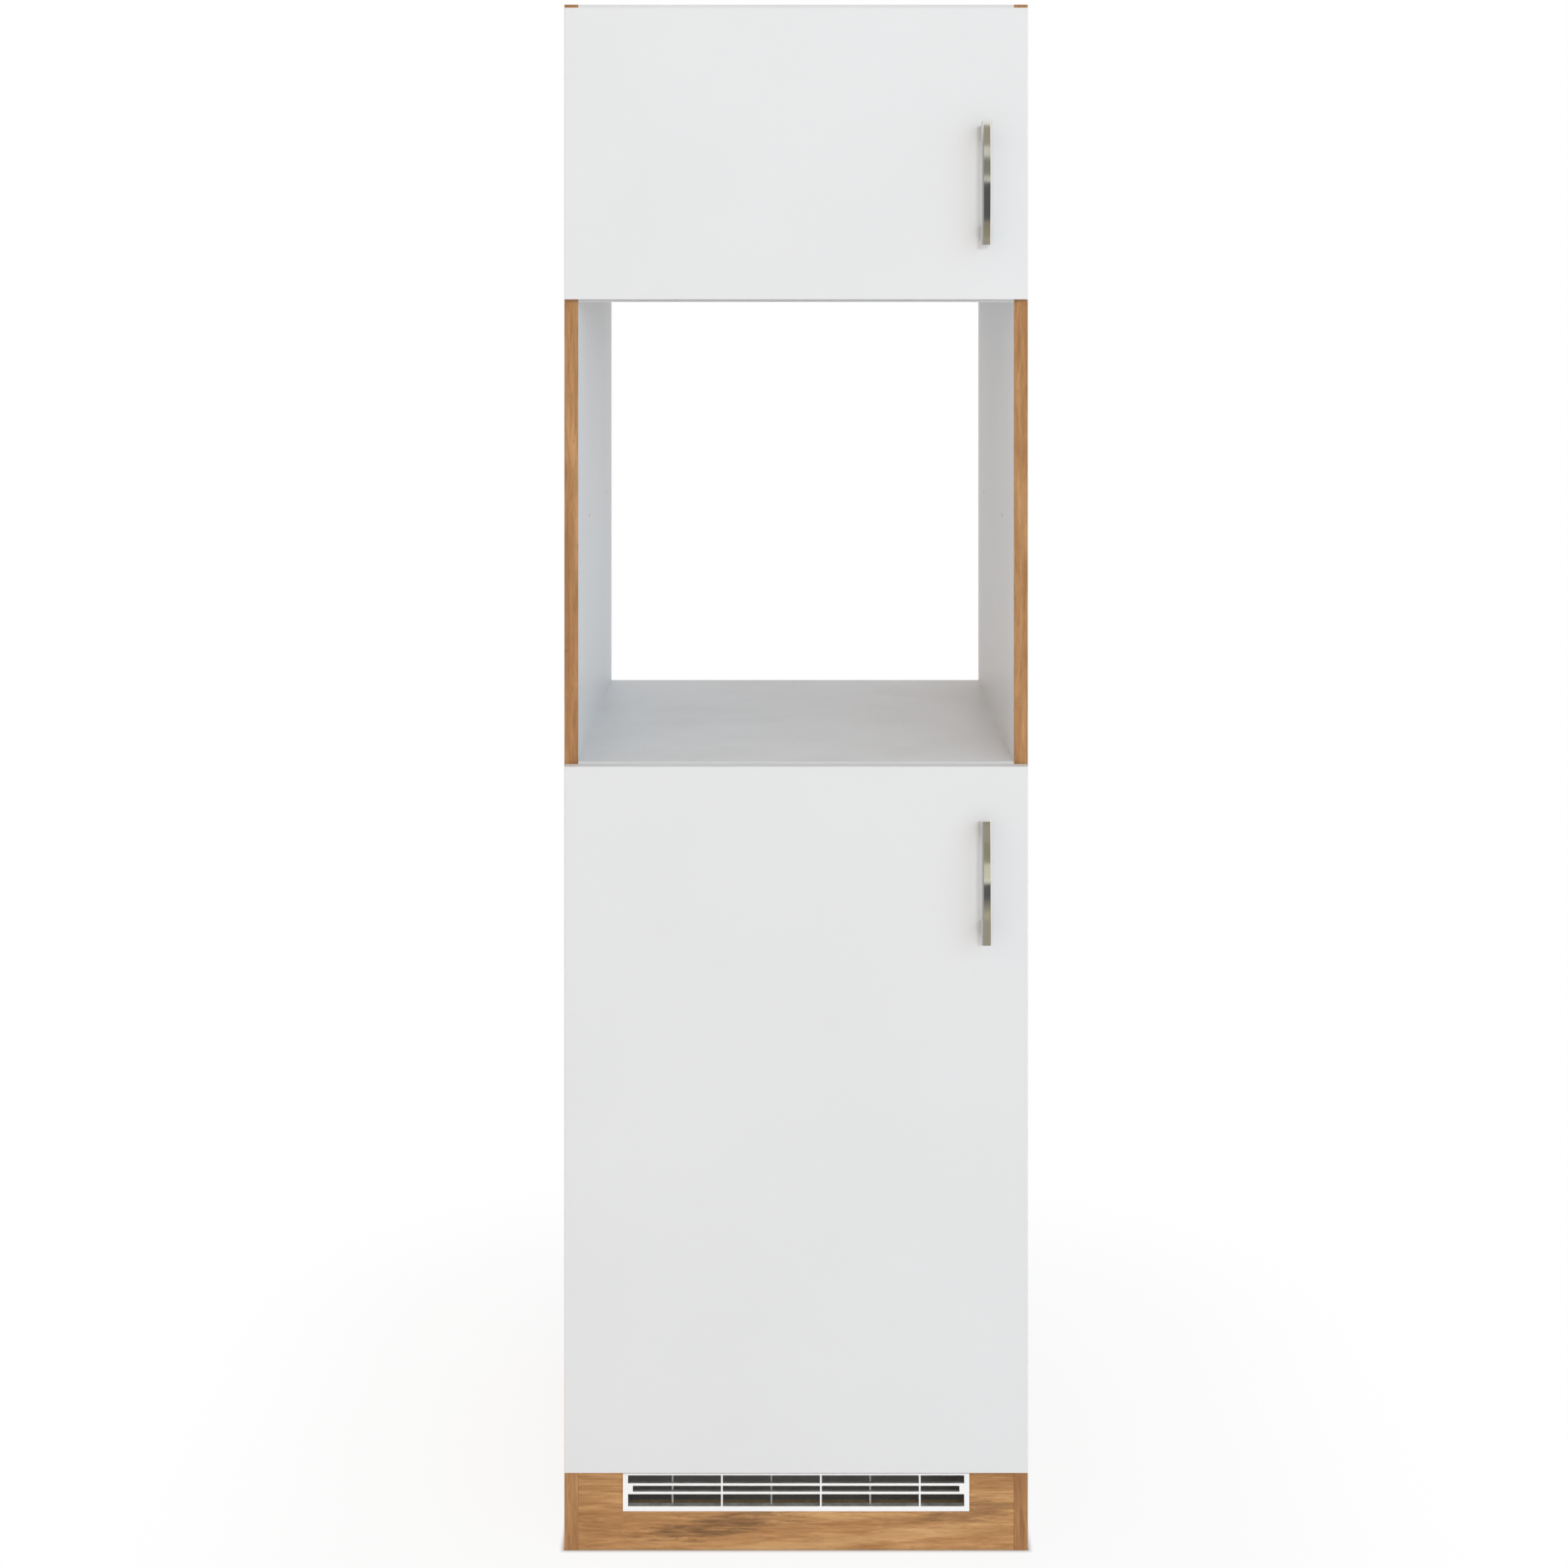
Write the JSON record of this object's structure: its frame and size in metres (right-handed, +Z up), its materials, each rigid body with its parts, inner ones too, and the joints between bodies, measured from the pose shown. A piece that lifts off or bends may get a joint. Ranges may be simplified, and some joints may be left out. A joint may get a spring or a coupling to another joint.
{
  "type": "fridge and oven cabinet",
  "caption": "Tall kitchen cabinet with an open oven niche between an upper door and a fridge compartment with a lower door, on a plinth with a ventilation grille.",
  "frame": {"origin": "on the floor, in the middle of the width and of the depth from the handles' front to the rear edges", "axes": "+Z up, the doors and handles face -Y, +X to the right seen from the front; the doors are hinged at -X"},
  "size_m": [0.6, 0.611, 2],
  "materials": {
    "oak_decor": "melamine board with a golden oak decor on the outside and front edge, white on the inside of the side panels",
    "white_board": "white melamine board, fine satin pearl",
    "white_hardboard": "thin white lacquered hardboard, brown rear face",
    "white_front": "smooth matt white door front",
    "white_plastic": "moulded white plastic",
    "clear_bumper": "soft clear self-adhesive bumper",
    "chrome_handle": "polished zinc casting, steel coloured plating",
    "nickel_steel": "nickel-plated pressed steel",
    "screw_steel": "zinc-plated steel",
    "zinc_casting": "raw zinc die-casting",
    "beech": "fluted beech dowel"
  },
  "bodies": {
    "carcass": {"side_panel_left": "oak_decor", "side_panel_right": "oak_decor", "side_band_left": "oak_decor", "side_band_right": "oak_decor", "top_panel": "white_board", "niche_ceiling": "white_board", "niche_floor": "white_board", "bottom_panel": "white_board", "panel_bands": "white_board", "back_panel": "white_hardboard", "rear_rail": "white_board", "plinth_board": "oak_decor", "vent_grille": "white_plastic", "plinth_brackets": "white_plastic", "plinth_bracket_screws": "screw_steel", "cam_locks": "zinc_casting", "cam_bolts": "screw_steel", "dowels": "beech", "wall_brackets": "nickel_steel", "wall_bracket_screws": "screw_steel", "upper_hinge_arms": "nickel_steel", "upper_hinge_plates": "nickel_steel", "upper_plate_screws": "screw_steel", "upper_arm_screws": "screw_steel", "lower_hinge_arms": "nickel_steel", "lower_hinge_plates": "nickel_steel", "lower_plate_screws": "screw_steel", "lower_arm_screws": "screw_steel"},
    "upper_door": {"upper_door_panel": "white_front", "upper_handle": "chrome_handle", "upper_handle_screws": "screw_steel", "upper_hinge_cups": "nickel_steel", "upper_cup_screws": "screw_steel", "upper_hinge_pins": "screw_steel", "upper_door_bumpers": "clear_bumper"},
    "lower_door": {"lower_door_panel": "white_front", "lower_handle": "chrome_handle", "lower_handle_screws": "screw_steel", "lower_hinge_cups": "nickel_steel", "lower_cup_screws": "screw_steel", "lower_hinge_pins": "screw_steel", "lower_door_bumpers": "clear_bumper"}
  },
  "joints": [
    {"name": "upper_door_hinge", "type": "hinge", "parent": "carcass", "child": "upper_door", "pos_m": [-0.291, -0.2658, 1.8065], "axis": [0, 0, -1], "range_deg": [0, 95]},
    {"name": "lower_door_hinge", "type": "hinge", "parent": "carcass", "child": "lower_door", "pos_m": [-0.291, -0.2658, 0.564], "axis": [0, 0, -1], "range_deg": [0, 95]}
  ]
}
